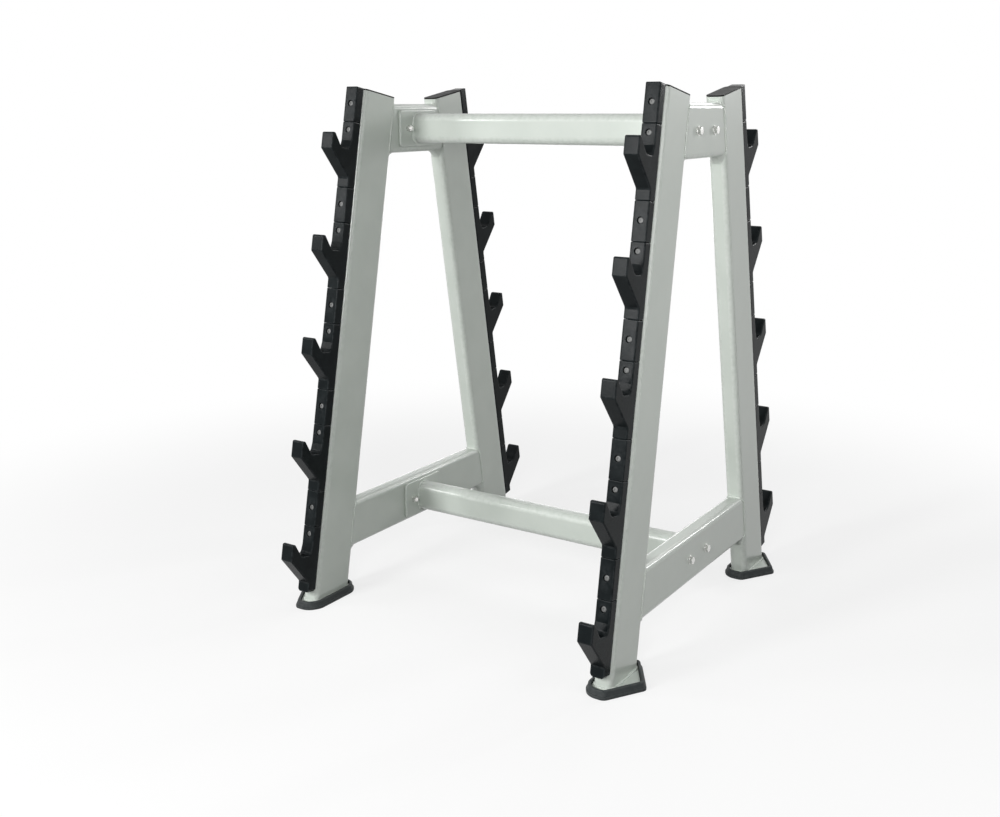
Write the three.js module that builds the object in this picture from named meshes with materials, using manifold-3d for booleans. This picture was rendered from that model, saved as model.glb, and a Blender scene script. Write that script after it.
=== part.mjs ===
// Barbell storage rack: two A-shaped side frames of welded tube, joined by two bolted beams,
// with five moulded catches down the outer face of each of the four leaning uprights.
// Millimetres, +Z up. X runs along a stored bar, Y through the depth, front at -Y.
import * as THREE from "three";
import { mergeVertices } from "three/addons/utils/BufferGeometryUtils.js";
import Module from "manifold-3d";

const wasm = await Module();
wasm.setup();

// Whole rack
const overallHeight = 1480;
const frameSpacing = 954;
const baseDepth = 1024;
const topDepth = 479;
const seatGap = 0.3;
const cutMargin = 40;

// Leaning uprights
const uprightWidth = 52;
const uprightDepth = 146;
const uprightRadius = 16;
const tubeWall = 3;

// Level tubes between the uprights of one side frame
const crossWidth = 50;
const crossRadius = 14;
const upperCrossHeight = 145;
const upperCrossDrop = 123.5;
const lowerCrossHeight = 134;
const lowerCrossCentre = 195;

// Beams between the side frames, with their end flanges and bolts
const beamWidth = 56;
const beamHeight = 88;
const beamRadius = 22;
const flangeWidth = 180;
const flangeHeight = 110;
const flangeThickness = 8;
const flangeRadius = 12;
const boltSpacing = 106;
const boltDiameter = 12;
const boltHoleClearance = 0.8;
const washerDiameter = 24;
const washerThickness = 2.5;
const headAcross = 19;
const headHeight = 8;
const nutHeight = 10;
const studLength = 9;

// Moulded strip of spacer blocks and catch blocks
const catchRows = 5;
const stripFootClearance = 45.3;
const spacerShare = 0.3487;
const stripWidth = 41.4;
const stripThickness = 30.4;
const blockBevel = 1.6;
const spacerBoltShare = 0.48;
const catchBoltDrop = 22.6;
const screwHoleDiameter = 8.4;
const screwSinkDiameter = 16;
const screwSinkDepth = 7;
const tailCorner = 8;

// Catch arm, measured out from the tube face; the shares of the block's length run down from its top
const armReach = 113.5;
const armTipThickness = 11;
const armTipShare = 0.222;
const armFaceShare = 0.47;
const armHeelShare = 0.85;
const saddleTopShare = 0.285;
const saddleBottomShare = 0.4225;
const saddleRadius = 20;
const tipRadius = 3;
const heelRadius = 8;

// Foot plates and rubber shoes; the outline is half of a shape mirrored front to back
const shoeHeight = 22;
const shoeInnerReach = 45;
const shoeOuterReach = 88;
const shoeHalfLength = 104;
const shoeNoseHalfWidth = 23;
const shoeInnerCorner = 34;
const shoeRadius = 15;
const shoeSideHeight = 8;
const shoeTaper = 6;
const rimWidth = 13;
const shoeSole = 6;
const footPlateThickness = 7;

// End caps
const capThickness = 4;
const capPlugDepth = 22;

// Chords in a rounded corner, a washer, the sunk mouth of a screw hole, a bolt and a hexagon
const arcSteps = 4;
const washerSteps = 12;
const sinkSteps = 10;
const boltSteps = 8;
const hexSteps = 6;
const mergeTolerance = 1e-5;
const weldOverlap = 1;
const leastRadius = 1;

const leanAngle = Math.atan2((baseDepth - topDepth) / 2, overallHeight);
const slant = Math.sin(leanAngle);
const upright = Math.cos(leanAngle);
const stripTop = (overallHeight - slant * stripThickness) / upright;
const catchPitch = (stripTop - stripFootClearance) / catchRows;
const spacerLength = catchPitch * spacerShare;
const catchLength = catchPitch - spacerLength;
const upperCrossCentre = overallHeight - upperCrossDrop;
const footCentre = uprightDepth / upright / 2;
const footPlateTop = shoeSole + seatGap + footPlateThickness;
const crossInnerFace = frameSpacing / 2 - crossWidth / 2;

const paint = { color: 0xaeb2ab, roughness: 0.42, metalness: 0.35 };
const beamPaint = { color: 0xdadcd8, roughness: 0.36, metalness: 0.3 };
const plastic = { color: 0x26292b, roughness: 0.55, metalness: 0 };
const rubber = { color: 0x35393a, roughness: 0.8, metalness: 0 };

// Turns a closed three.js geometry into a solid that can be cut and joined.
function toSolid(geometry) {
  const bare = geometry.clone();
  bare.deleteAttribute("normal");
  bare.deleteAttribute("uv");
  const merged = mergeVertices(bare, mergeTolerance);
  const mesh = new wasm.Mesh({
    numProp: 3,
    vertProperties: new Float32Array(merged.attributes.position.array),
    triVerts: new Uint32Array(merged.index.array),
  });
  return new wasm.Manifold(mesh);
}

// Turns a solid back into a flat-shaded three.js geometry.
function toGeometry(solid) {
  const mesh = solid.getMesh();
  const geometry = new THREE.BufferGeometry();
  const positions = new Float32Array(mesh.vertProperties);
  geometry.setAttribute("position", new THREE.BufferAttribute(positions, mesh.numProp));
  geometry.setIndex(new THREE.BufferAttribute(new Uint32Array(mesh.triVerts), 1));
  const flat = geometry.toNonIndexed();
  flat.computeVertexNormals();
  return flat;
}

function namedMesh(name, solid, look) {
  const mesh = new THREE.Mesh(toGeometry(solid), new THREE.MeshStandardMaterial(look));
  mesh.name = name;
  return mesh;
}

// Rounds the corners of a polygon; radii and steps are one value for all or one per corner.
function roundedPath(corners, radii, steps = arcSteps) {
  const points = [];
  corners.forEach((corner, i) => {
    const chords = Array.isArray(steps) ? steps[i] : steps;
    const before = corners[(i + corners.length - 1) % corners.length];
    const after = corners[(i + 1) % corners.length];
    const radius = Array.isArray(radii) ? radii[i] : radii;
    if (radius === 0) {
      points.push(corner.clone());
      return;
    }
    const back = before.clone().sub(corner).normalize();
    const ahead = after.clone().sub(corner).normalize();
    const half = Math.acos(THREE.MathUtils.clamp(back.dot(ahead), -1, 1)) / 2;
    const reach = radius / Math.tan(half);
    const centre = back.clone().add(ahead).normalize().multiplyScalar(radius / Math.sin(half)).add(corner);
    const first = back.multiplyScalar(reach).add(corner).sub(centre);
    const last = ahead.multiplyScalar(reach).add(corner).sub(centre);
    const sweep = Math.atan2(first.cross(last), first.dot(last));
    for (let k = 0; k <= chords; k += 1) {
      points.push(first.clone().rotateAround(new THREE.Vector2(), (sweep * k) / chords).add(centre));
    }
  });
  return points;
}

function rectangleCorners(width, depth) {
  const x = width / 2;
  const y = depth / 2;
  return [[-x, -y], [x, -y], [x, y], [-x, y]].map(([a, b]) => new THREE.Vector2(a, b));
}

// Straight prism from a path in the XY plane, rising along Z from start to end.
function prism(path, start, end, bevel = 0) {
  const geometry = new THREE.ExtrudeGeometry(new THREE.Shape(path), {
    depth: end - start - 2 * bevel,
    bevelEnabled: bevel > 0,
    bevelThickness: bevel,
    bevelSize: bevel,
    bevelOffset: -bevel,
    bevelSegments: 1,
    curveSegments: 1,
  });
  return geometry.translate(0, 0, start + bevel);
}

// Round bar along Z.
function rod(diameter, start, end, steps = boltSteps) {
  const geometry = new THREE.CylinderGeometry(diameter / 2, diameter / 2, end - start, steps);
  return geometry.rotateX(Math.PI / 2).translate(0, 0, (start + end) / 2);
}

// Solid through a stack of outlines with the same number of points, each with its own height.
function loft(rings) {
  const count = rings[0].path.length;
  const positions = rings.flatMap(({ path, height }) => path.flatMap((p) => [p.x, p.y, height]));
  const faces = [];
  for (let r = 0; r + 1 < rings.length; r += 1) {
    for (let i = 0; i < count; i += 1) {
      const a = r * count + i;
      const b = r * count + ((i + 1) % count);
      faces.push(a, b, b + count, a, b + count, a + count);
    }
  }
  const cap = THREE.ShapeUtils.triangulateShape(rings[0].path, []);
  const last = (rings.length - 1) * count;
  cap.forEach(([a, b, c]) => faces.push(a, c, b, last + a, last + b, last + c));
  const geometry = new THREE.BufferGeometry();
  geometry.setAttribute("position", new THREE.Float32BufferAttribute(positions, 3));
  geometry.setIndex(faces);
  return geometry;
}

// Section of an upright as a solid bar in the frame of a foot, grown by extra all round.
function uprightBar(extra, start, end) {
  const corners = rectangleCorners(uprightWidth + 2 * extra, uprightDepth + 2 * extra);
  const bar = prism(roundedPath(corners, uprightRadius + extra), start, end);
  return toSolid(bar.translate(0, uprightDepth / 2, 0).rotateX(-leanAngle));
}

// Outline of the rubber shoe, drawn in by inset; side is 1 where the flare points to +X.
function shoePath(inset, side) {
  const grow = (across, along) => new THREE.Vector2(across * side, along + footCentre);
  const slope = Math.atan2(shoeHalfLength, shoeOuterReach - shoeNoseHalfWidth);
  const flareInset = inset / Math.sin(slope);
  const noseInset = inset * Math.tan(slope / 2);
  const length = shoeHalfLength - inset;
  const cornerRun = shoeInnerReach - shoeNoseHalfWidth;
  const cornerAngle = Math.atan2(shoeInnerCorner, cornerRun);
  const sideInset = inset * Math.tan(Math.PI / 4 - cornerAngle / 2);
  const frontInset = inset * Math.tan(cornerAngle / 2);
  const half = [
    grow(-shoeInnerReach + inset, -shoeHalfLength + shoeInnerCorner + sideInset),
    grow(-shoeNoseHalfWidth + frontInset, -length),
    grow(shoeNoseHalfWidth - noseInset, -length),
  ];
  const tip = grow(shoeOuterReach - flareInset, 0);
  const otherHalf = half.map((p) => new THREE.Vector2(p.x, 2 * footCentre - p.y)).reverse();
  const corners = [...half, tip, ...otherHalf];
  if (side < 0) corners.reverse();
  return roundedPath(corners, Math.max(shoeRadius - inset, leastRadius));
}

// Leaning tube with its foot plate welded across the lower end.
function uprightTube(side) {
  const top = stripTop - capThickness - seatGap;
  const bore = uprightBar(-tubeWall, -2 * cutMargin, top + cutMargin);
  const shell = uprightBar(0, -cutMargin, top).subtract(bore);
  const weldDepth = footPlateThickness / 2;
  const below = prism(rectangleCorners(baseDepth, baseDepth), -2 * cutMargin, footPlateTop - weldDepth);
  const plate = prism(shoePath(rimWidth + seatGap, side), shoeSole + seatGap, footPlateTop);
  return shell.subtract(toSolid(below)).add(toSolid(plate));
}

function rubberShoe(side) {
  const body = loft([
    { path: shoePath(0, side), height: 0 },
    { path: shoePath(0, side), height: shoeSideHeight },
    { path: shoePath(shoeTaper, side), height: shoeHeight },
  ]);
  const pocket = prism(shoePath(rimWidth, side), shoeSole, shoeHeight + cutMargin);
  return toSolid(body).subtract(toSolid(pocket));
}

function endCap() {
  const outline = roundedPath(rectangleCorners(uprightWidth, uprightDepth), uprightRadius);
  const lid = prism(outline, 0, capThickness);
  const inset = 2 * (tubeWall + seatGap);
  const plugCorners = rectangleCorners(uprightWidth - inset, uprightDepth - inset);
  const plug = prism(roundedPath(plugCorners, uprightRadius - inset / 2), -capPlugDepth, capThickness / 2);
  return toSolid(lid).add(toSolid(plug));
}

// Level tube of a side frame, its ends shaped to the rounded corners of both uprights.
function crossTube(height, centre) {
  const reach = baseDepth / 2 - centre * Math.tan(leanAngle) - uprightDepth / 2;
  const section = (trim) => roundedPath(
    rectangleCorners(crossWidth - 2 * trim, height - 2 * trim), crossRadius - trim);
  const lie = (geometry) => geometry.rotateX(Math.PI / 2).translate(0, 0, centre);
  const outer = toSolid(lie(prism(section(0), -reach, reach)));
  const bore = toSolid(lie(prism(section(tubeWall), -reach - cutMargin, reach + cutMargin)));
  let tube = outer.subtract(bore);
  const front = uprightBar(seatGap, -cutMargin, stripTop).translate([0, -baseDepth / 2, 0]);
  tube = tube.subtract(front).subtract(front.rotate([0, 0, 180]));
  for (const y of [-boltSpacing / 2, boltSpacing / 2]) {
    const hole = rod(boltDiameter + boltHoleClearance, -crossWidth, crossWidth);
    tube = tube.subtract(toSolid(hole.rotateY(Math.PI / 2).translate(0, y, centre)));
  }
  return tube;
}

// One bolt along X with its head outside the side frame and its nut on the flange.
function beamBolt() {
  const outerSeat = crossWidth + seatGap;
  const washer = rod(washerDiameter, outerSeat, outerSeat + washerThickness, washerSteps);
  const head = rod(headAcross, outerSeat, outerSeat + washerThickness + headHeight, hexSteps);
  const innerFace = -seatGap - flangeThickness;
  const nut = rod(headAcross, innerFace - nutHeight, innerFace + flangeThickness / 2, hexSteps);
  const shank = rod(boltDiameter, innerFace - nutHeight - studLength, outerSeat + washerThickness);
  return [washer, head, nut, shank].map((g) => toSolid(g.rotateY(Math.PI / 2)));
}

// Beam with a flange and two bolts at each end, about its own centre.
function beam() {
  const flangeFace = crossInnerFace - seatGap;
  const along = (geometry) => toSolid(geometry.rotateZ(Math.PI / 2).rotateY(Math.PI / 2));
  const section = (trim) => roundedPath(
    rectangleCorners(beamWidth - 2 * trim, beamHeight - 2 * trim), beamRadius - trim);
  let solid = along(prism(section(0), -flangeFace + weldOverlap, flangeFace - weldOverlap));
  const plate = roundedPath(rectangleCorners(flangeWidth, flangeHeight), flangeRadius);
  for (const end of [-1, 1]) {
    const flange = end > 0
      ? prism(plate, flangeFace - flangeThickness, flangeFace)
      : prism(plate, -flangeFace, -flangeFace + flangeThickness);
    solid = solid.add(along(flange));
  }
  solid = solid.subtract(along(prism(section(tubeWall), -flangeFace - cutMargin, flangeFace + cutMargin)));
  for (const turn of [0, 180]) {
    for (const y of [-boltSpacing / 2, boltSpacing / 2]) {
      for (const piece of beamBolt()) {
        solid = solid.add(piece.translate([crossInnerFace, y, 0]).rotate([0, 0, turn]));
      }
    }
  }
  return solid;
}

// Stepped screw hole through a block, height above its lower end.
function screwHole(height) {
  const through = rod(screwHoleDiameter, -cutMargin, stripThickness + cutMargin, hexSteps);
  const sink = rod(screwSinkDiameter, stripThickness - screwSinkDepth, stripThickness + cutMargin, sinkSteps);
  const turn = (geometry) => toSolid(geometry.rotateX(Math.PI / 2).translate(0, 0, height));
  return turn(through).add(turn(sink));
}

// Block with an outline in the outward and upward directions, bevelled across the strip's width.
function moulded(path) {
  const geometry = prism(path, 0, stripWidth, blockBevel);
  const basis = new THREE.Matrix4().makeBasis(
    new THREE.Vector3(0, -1, 0), new THREE.Vector3(0, 0, 1), new THREE.Vector3(-1, 0, 0));
  return toSolid(geometry.applyMatrix4(basis).translate(stripWidth / 2, 0, 0));
}

function spacerBlock() {
  const length = spacerLength - seatGap;
  const path = [[seatGap, 0], [stripThickness, 0], [stripThickness, length], [seatGap, length]];
  const block = moulded(path.map(([u, v]) => new THREE.Vector2(u, v)));
  return block.subtract(screwHole(spacerLength * (1 - spacerBoltShare)));
}

// Catch: strip block, raised arm and the rounded saddle that a bar drops into.
function catchPath() {
  const length = catchLength - seatGap;
  const up = (share) => length - catchLength * share;
  const innerTip = armReach - armTipThickness;
  const outline = [
    { at: [seatGap, 0], radius: 0, chords: 1 },
    { at: [stripThickness, 0], radius: 0, chords: 1 },
    { at: [stripThickness, up(armHeelShare)], radius: heelRadius, chords: 2 },
    { at: [armReach, up(armFaceShare)], radius: tipRadius, chords: 2 },
    { at: [armReach, up(armTipShare)], radius: tipRadius, chords: 2 },
    { at: [innerTip, up(armTipShare)], radius: tipRadius, chords: 2 },
    { at: [stripThickness + 2 * saddleRadius, up(saddleBottomShare)], radius: saddleRadius, chords: 4 },
    { at: [stripThickness + saddleRadius / 4, up(saddleBottomShare)], radius: saddleRadius / 2, chords: 3 },
    { at: [stripThickness, up(saddleTopShare)], radius: heelRadius, chords: 2 },
    { at: [stripThickness, length], radius: 0, chords: 1 },
    { at: [seatGap, length], radius: 0, chords: 1 },
  ];
  const corners = outline.map(({ at }) => new THREE.Vector2(...at));
  return roundedPath(corners, outline.map((c) => c.radius), outline.map((c) => c.chords));
}

function catchBlock(last) {
  const length = catchLength - seatGap;
  let block = moulded(catchPath()).subtract(screwHole(length - catchBoltDrop));
  if (last) {
    for (const side of [-1, 1]) {
      const edge = stripWidth / 2;
      const corner = [[edge - tailCorner, 0], [edge, -tailCorner], [edge + tailCorner, 0], [edge, tailCorner]]
        .map(([x, z]) => new THREE.Vector2(side * x, z));
      if (side < 0) corner.reverse();
      const wedge = prism(corner, -cutMargin, stripThickness + cutMargin);
      block = block.subtract(toSolid(wedge.rotateX(Math.PI / 2)));
    }
  }
  return block;
}

// Everything that stands on one foot: upright, shoe, cap and the strip of blocks.
function stand(name, side, parts) {
  const base = new THREE.Group();
  base.add(namedMesh(`${name}_upright`, uprightTube(side), paint));
  base.add(namedMesh(`${name}_shoe`, rubberShoe(side), rubber));
  const leaning = new THREE.Group();
  leaning.rotation.x = -leanAngle;
  const cap = namedMesh(`${name}_end_cap`, parts.cap, plastic);
  cap.position.set(0, uprightDepth / 2, stripTop - capThickness);
  leaning.add(cap);
  for (let row = 0; row < catchRows; row += 1) {
    const spacer = namedMesh(`${name}_spacer_${row + 1}`, parts.spacer, plastic);
    spacer.position.z = stripTop - row * catchPitch - spacerLength + seatGap;
    const block = row === catchRows - 1 ? parts.lastCatch : parts.catch;
    const hook = namedMesh(`${name}_catch_${row + 1}`, block, plastic);
    hook.position.z = stripTop - (row + 1) * catchPitch + seatGap;
    leaning.add(spacer, hook);
  }
  base.add(leaning);
  return base;
}

function sideFrame(name, side, parts) {
  const frame = new THREE.Group();
  frame.position.x = side * frameSpacing / 2;
  for (const end of ["front", "rear"]) {
    const turned = end === "rear";
    const leg = stand(`${name}_${end}`, turned ? -side : side, parts);
    leg.position.y = turned ? baseDepth / 2 : -baseDepth / 2;
    leg.rotation.z = turned ? Math.PI : 0;
    frame.add(leg);
  }
  frame.add(namedMesh(`${name}_upper_cross_tube`, parts.upperCross, paint));
  frame.add(namedMesh(`${name}_lower_cross_tube`, parts.lowerCross, paint));
  return frame;
}

function rack() {
  const parts = {
    cap: endCap(),
    spacer: spacerBlock(),
    catch: catchBlock(false),
    lastCatch: catchBlock(true),
    upperCross: crossTube(upperCrossHeight, upperCrossCentre),
    lowerCross: crossTube(lowerCrossHeight, lowerCrossCentre),
  };
  const group = new THREE.Group();
  group.name = "barbell_storage_rack";
  group.add(sideFrame("left", -1, parts), sideFrame("right", 1, parts));
  const beamSolid = beam();
  for (const [name, height] of [["upper_beam", upperCrossCentre], ["lower_beam", lowerCrossCentre]]) {
    const mesh = namedMesh(name, beamSolid, beamPaint);
    mesh.position.z = height;
    group.add(mesh);
  }
  return group;
}

export default rack();
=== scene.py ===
"""Finished look of the storage rack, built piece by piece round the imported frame."""
import logging
import math
from dataclasses import dataclass, field
from enum import Enum
from typing import Iterable, Sequence

import bmesh
import bpy
import numpy as np
from mathutils import Matrix, Vector


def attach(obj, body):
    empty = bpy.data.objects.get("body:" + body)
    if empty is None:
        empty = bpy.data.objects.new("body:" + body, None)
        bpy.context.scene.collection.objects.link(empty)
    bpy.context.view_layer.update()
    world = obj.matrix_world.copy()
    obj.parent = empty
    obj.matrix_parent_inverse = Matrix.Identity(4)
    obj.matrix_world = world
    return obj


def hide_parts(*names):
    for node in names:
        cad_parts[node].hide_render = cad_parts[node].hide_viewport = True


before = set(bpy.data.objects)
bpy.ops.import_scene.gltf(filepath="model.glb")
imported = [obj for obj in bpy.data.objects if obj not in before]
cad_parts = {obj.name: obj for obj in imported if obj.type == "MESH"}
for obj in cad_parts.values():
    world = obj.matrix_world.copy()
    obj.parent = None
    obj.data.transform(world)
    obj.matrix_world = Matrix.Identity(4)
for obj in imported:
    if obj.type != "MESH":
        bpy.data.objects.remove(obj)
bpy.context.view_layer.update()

log = logging.getLogger("rack")

# Lengths of the rack are in millimetres until Skin.mesh turns them into metres.
MM = 0.001
SHARP_ANGLE = math.radians(38)  # edges that bend more are shaded sharp
WEAR_AND_HIGHLIGHT_ANGLE = math.radians(7)  # edges that bend more get scuffing and a painted edge highlight
WEAR_AND_HIGHLIGHT_ATTRIBUTE = "edge"
SUPPORT = 1.6  # from a bend to the points that keep its shading tight
ROOM_PARTS = 3  # a support takes at most one such part of the straight beside its bend
TUBE_SUPPORT = 3.0  # from the end of a tube to its support ring
HAIR = 0.01  # a length too small to be seen
LEAST_RADIUS = 0.2  # of a bend in an outline that is drawn in
AXIS_RADIUS = 0.05  # stands for the axis of a turned body
ROUND_STEPS = 48
HEX_HALF = math.pi / 6  # angle from the middle of a flat to a corner
HEX_CHAMFER = math.tan(math.radians(30))
HEX_FACE_SHARE = 0.95  # of the round end face in the width across the flats
HEX_FACE_INSET = 1.2  # from the rim of that face to its inner ring

Colour = tuple[float, float, float]
Points = np.ndarray
Pairs = tuple[tuple[float, float], ...]
Bend = tuple[float, int]  # a radius and the number of its chords


class Slot(Enum):
    """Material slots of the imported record."""

    GREY_PAINT = "grey_paint"
    SILVER_PAINT = "silver_paint"
    BLACK_PLASTIC = "black_plastic"
    SHOE_RUBBER = "shoe_rubber"


class Coat(Enum):
    """Finishes that the pieces are dressed in."""

    PAINT = "satin_paint"
    PLASTIC = "moulded_plastic"
    CAP = "cap_plastic"
    RUBBER = "shoe_rubber_finish"
    ZINC = "zinc_plate"
    SCREW = "screw_steel"


class End(Enum):
    """The two ends of a side frame along the depth of the rack."""

    FRONT = "front"
    REAR = "rear"

    @property
    def sign(self) -> int:
        """The sign of Y at this end."""
        return -1 if self is End.FRONT else 1


class Side(Enum):
    """The two side frames of the rack."""

    LEFT = "left"
    RIGHT = "right"

    @property
    def sign(self) -> int:
        """The sign of X on this side."""
        return -1 if self is Side.LEFT else 1


class Level(Enum):
    """The two heights at which tubes cross the rack."""

    UPPER = "upper"
    LOWER = "lower"


@dataclass(frozen=True)
class RackSizes:
    """Sizes of the rack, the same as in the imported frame."""

    height: float = 1480.0
    frame_spacing: float = 954.0
    base_depth: float = 1024.0
    top_depth: float = 479.0
    seat_gap: float = 0.3
    tube_width: float = 52.0
    tube_depth: float = 146.0
    tube_radius: float = 16.0
    wall: float = 3.0
    cross_width: float = 50.0
    cross_radius: float = 14.0
    upper_cross_height: float = 145.0
    upper_cross_centre: float = 1356.5
    lower_cross_height: float = 134.0
    lower_cross_centre: float = 195.0
    strip_width: float = 41.4
    strip_thickness: float = 30.4
    strip_foot: float = 45.3
    rows: int = 5
    spacer_share: float = 0.3487
    shoe_height: float = 22.0
    sole: float = 6.0
    plate: float = 7.0

    @property
    def lean(self) -> float:
        """Angle of the uprights from the vertical, in radians."""
        return math.atan2((self.base_depth - self.top_depth) / 2, self.height)

    @property
    def strip_top(self) -> float:
        """Length along an upright from the floor to its top."""
        return (self.height - math.sin(self.lean) * self.strip_thickness) / math.cos(self.lean)

    @property
    def pitch(self) -> float:
        """Distance from one catch to the next along the upright."""
        return (self.strip_top - self.strip_foot) / self.rows

    @property
    def spacer(self) -> float:
        """Length of a spacer block."""
        return self.pitch * self.spacer_share

    @property
    def catch(self) -> float:
        """Length of a catch block."""
        return self.pitch - self.spacer

    @property
    def plate_top(self) -> float:
        """Height of the top of the welded foot plate."""
        return self.sole + self.seat_gap + self.plate


SIZES = RackSizes()


@dataclass(frozen=True)
class Corner:
    """One corner of an outline, with its rounding."""

    x: float
    y: float
    radius: float = 0.0
    chords: int = 0


def rectangle(width: float, height: float, radius: float, chords: int = 8) -> list[Corner]:
    """Corners of a centred rectangle, anticlockwise."""
    x, y = width / 2, height / 2
    return [Corner(a, b, radius, chords) for a, b in ((-x, -y), (x, -y), (x, y), (-x, y))]


def path_of(corners: Sequence[Corner], inset: float = 0.0) -> Points:
    """Points of a rounded outline, drawn in by an inset, with support points beside each bend.

    Args:
        corners: the outline's corners, anticlockwise.
        inset: distance by which the outline is drawn in.

    Returns:
        An array of 2-D points, as many for every inset.
    """
    at = np.array([(c.x, c.y) for c in corners], float)
    edge = np.roll(at, -1, 0) - at
    edge /= np.linalg.norm(edge, axis=1)[:, None]
    normal = np.stack([-edge[:, 1], edge[:, 0]], 1)
    bends = []
    for i, corner in enumerate(corners):
        n0, n1, e0, e1 = normal[i - 1], normal[i], edge[i - 1], edge[i]
        tip = at[i] + (n0 + n1) * inset / (1 + n0 @ n1)
        if corner.chords == 0:
            bends.append((tip, 0.0, [tip]))
            continue
        turn = e0[0] * e1[1] - e0[1] * e1[0]
        radius = max(corner.radius - math.copysign(inset, turn), LEAST_RADIUS)
        half = math.acos(max(-1.0, min(1.0, float(-e0 @ e1)))) / 2
        reach = radius / math.tan(half)
        middle = (e1 - e0) / np.linalg.norm(e1 - e0)
        centre = tip + middle * radius / math.sin(half)
        first, last = tip - e0 * reach - centre, tip + e1 * reach - centre
        sweep = math.atan2(first[0] * last[1] - first[1] * last[0], float(first @ last))
        arc = []
        for k in range(corner.chords + 1):
            c, s = math.cos(sweep * k / corner.chords), math.sin(sweep * k / corner.chords)
            spoke = np.array([first[0] * c - first[1] * s, first[0] * s + first[1] * c])
            arc.append(centre + spoke)
        bends.append((tip, reach, arc))
    points: list[Points] = []
    for i, (tip, reach, arc) in enumerate(bends):
        before, after = bends[i - 1], bends[(i + 1) % len(bends)]
        room_before = np.linalg.norm(tip - before[0]) - reach - before[1]
        room_after = np.linalg.norm(after[0] - tip) - reach - after[1]
        points.append(arc[0] - edge[i - 1] * max(HAIR, min(SUPPORT, room_before / ROOM_PARTS)))
        points.extend(arc)
        points.append(arc[-1] + edge[i] * max(HAIR, min(SUPPORT, room_after / ROOM_PARTS)))
    return np.array(points)


class Skin:
    """Points and faces of one mesh while it is put together."""

    def __init__(self) -> None:
        """Starts an empty skin."""
        self.points: list[Points] = []
        self.faces: list[tuple[int, ...]] = []
        self.count = 0

    def ring(self, points: Iterable[Sequence[float]]) -> list[int]:
        """Adds a ring of points.

        Args:
            points: the 3-D points.

        Returns:
            Their numbers in the skin.
        """
        rows = np.array(points, float)
        self.points.append(rows)
        first, self.count = self.count, self.count + len(rows)
        return list(range(first, self.count))

    def loft(self, rings: Sequence[Points], capped: bool = True) -> "Skin":
        """Joins rings of the same length into a closed body.

        Args:
            rings: arrays of 3-D points.
            capped: True to close both ends, False to join the last ring to the first.

        Returns:
            The skin itself.
        """
        numbers = [self.ring(r) for r in rings]
        pairs = list(zip(numbers, numbers[1:]))
        if capped:
            self.faces += [tuple(reversed(numbers[0])), tuple(numbers[-1])]
        else:
            pairs.append((numbers[-1], numbers[0]))
        for a, b in pairs:
            n = len(a)
            self.faces += [(a[i], a[(i + 1) % n], b[(i + 1) % n], b[i]) for i in range(n)]
        return self

    def add(self, other: "Skin") -> "Skin":
        """Takes in another skin's points and faces.

        Args:
            other: the skin to copy from.

        Returns:
            The skin itself.
        """
        offset = self.count
        self.ring(np.concatenate(other.points))
        self.faces += [tuple(i + offset for i in f) for f in other.faces]
        return self

    def moved(self, matrix: Matrix) -> "Skin":
        """Copies the skin to another place.

        Args:
            matrix: the 4x4 move, in millimetres.

        Returns:
            The moved copy.
        """
        m = np.array(matrix, float)
        copy = Skin()
        copy.ring(np.concatenate(self.points) @ m[:3, :3].T + m[:3, 3])
        copy.faces = list(self.faces)
        return copy

    def mesh(self, name: str) -> bpy.types.Mesh:
        """Makes a Blender mesh in metres with outward normals.

        Args:
            name: name of the mesh.

        Returns:
            The new mesh.
        """
        mesh = bpy.data.meshes.new(name)
        points = np.concatenate(self.points) * MM
        mesh.from_pydata(points.tolist(), [], self.faces)
        work = bmesh.new()
        work.from_mesh(mesh)
        bmesh.ops.recalc_face_normals(work, faces=work.faces)
        work.to_mesh(mesh)
        work.free()
        return mesh


def flat_ring(path: Points, height: float) -> Points:
    """A path lifted to a height."""
    return np.column_stack([path, np.full(len(path), height)])


def angles(steps: int = ROUND_STEPS) -> Points:
    """The angles of a circle's points."""
    return np.arange(steps) * 2 * math.pi / steps


def circle(radius: float | Points, steps: int = ROUND_STEPS) -> Points:
    """The points of a circle, or of a shape whose radius at each point is given."""
    angle = angles(steps)
    return np.column_stack([radius * np.cos(angle), radius * np.sin(angle)])


def round_ring(radius: float, height: float) -> Points:
    """A level circle of points."""
    return flat_ring(circle(radius), height)


def hex_ring(across: float, height: float, least: float = 0.0, fall: float = 0.0) -> Points:
    """A ring round a hexagon whose points drop with their distance past a circle.

    Args:
        across: width across the flats.
        height: height of the ring.
        least: radius of the circle from which the points drop.
        fall: drop per unit of that distance.

    Returns:
        The ring's 3-D points.
    """
    sector = np.mod(angles() + HEX_HALF, 2 * HEX_HALF) - HEX_HALF
    radius = across / 2 / np.cos(sector)
    drop = np.maximum(radius - least, 0) * fall
    return np.column_stack([circle(radius), height - drop])


def prism(
    corners: Sequence[Corner], low: float, high: float, edge: float = 0.0, steps: int = 3
) -> Skin:
    """A body from an outline in the XY plane, with rounded edges at both ends.

    Args:
        corners: the outline.
        low: height of the lower end.
        high: height of the upper end.
        edge: radius of the rounding along both ends.
        steps: chords in that rounding.

    Returns:
        The closed skin.
    """
    steps = max(1, steps) if edge > 0 else 0
    levels = [(edge + SUPPORT, 0.0)]
    for k in range(steps + 1):
        turn = math.pi / 2 * (k / steps if steps else 1)
        levels.append((edge * (1 - math.sin(turn)), edge * (1 - math.cos(turn))))
    levels.append((0.0, edge + min(SUPPORT, ((high - low) / 2 - edge) / 2)))
    rings = [flat_ring(path_of(corners, inset), low + rise) for inset, rise in levels]
    rings += [flat_ring(path_of(corners, inset), high - rise) for inset, rise in reversed(levels)]
    return Skin().loft(rings)


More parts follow.
